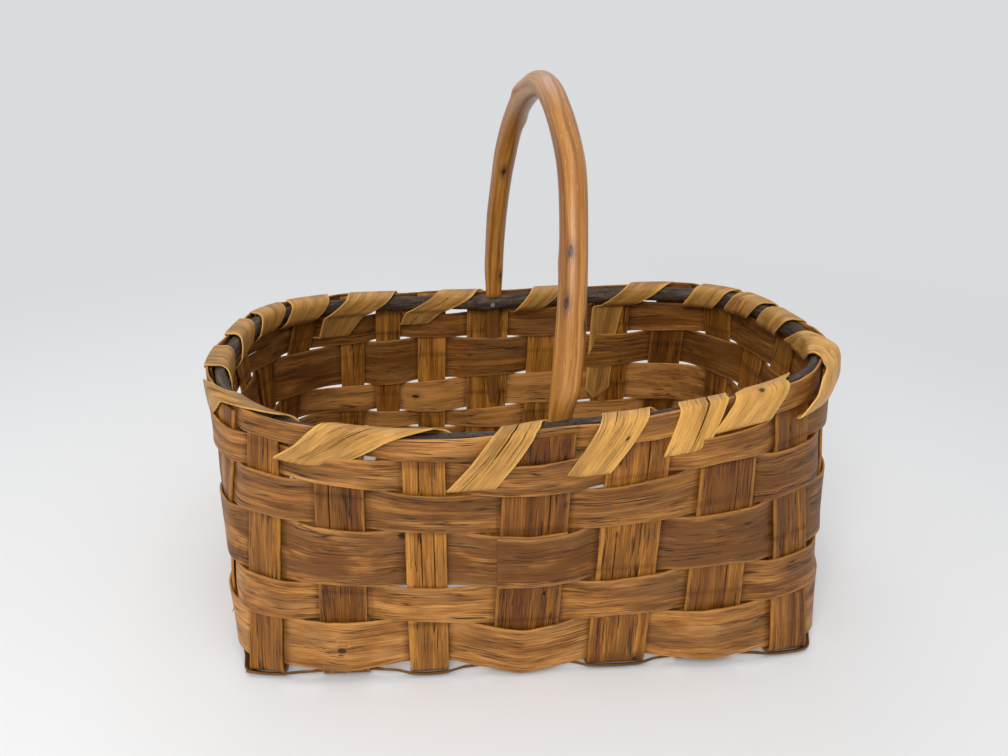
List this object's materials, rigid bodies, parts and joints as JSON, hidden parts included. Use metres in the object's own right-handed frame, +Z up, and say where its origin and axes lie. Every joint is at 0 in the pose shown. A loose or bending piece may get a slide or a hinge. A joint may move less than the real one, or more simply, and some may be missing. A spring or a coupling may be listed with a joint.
{
  "type": "woven splint basket",
  "caption": "Open rectangular market basket of woven wood splints with a bark inner rim lashed on and one fixed bentwood handle arching across its middle.",
  "frame": {"origin": "middle of the rectangle that the basket stands on, at the height of that surface", "axes": "+Z up, +X along the basket's length to the right, -Y out of the front, so the handle arches along Y"},
  "size_m": [0.4572, 0.3298, 0.3817],
  "materials": {
    "splint_wood": "aged orange-brown split wood under worn varnish",
    "weaver_wood": "aged tan-brown split wood, satin",
    "bark": "dark grey-brown bark, dull",
    "lashing_wood": "pale golden inner bark, satin",
    "handle_wood": "peeled stick with knots, worn varnish",
    "nail_steel": "dull worn steel"
  },
  "bodies": {
    "root": {"cross_splint_1": "splint_wood", "cross_splint_2": "splint_wood", "cross_splint_3": "splint_wood", "cross_splint_4": "splint_wood", "cross_splint_5": "splint_wood", "cross_splint_6": "splint_wood", "cross_splint_7": "splint_wood", "long_splint_1": "splint_wood", "long_splint_2": "splint_wood", "long_splint_3": "splint_wood", "long_splint_4": "splint_wood", "long_splint_5": "splint_wood", "rim_band": "weaver_wood", "weaver_1": "weaver_wood", "weaver_2": "weaver_wood", "weaver_3": "weaver_wood", "weaver_4": "weaver_wood", "weaver_5": "weaver_wood", "base_weaver": "weaver_wood", "inner_rim": "bark", "rim_lashing": "lashing_wood", "handle": "handle_wood", "handle_nails": "nail_steel"}
  },
  "joints": []
}
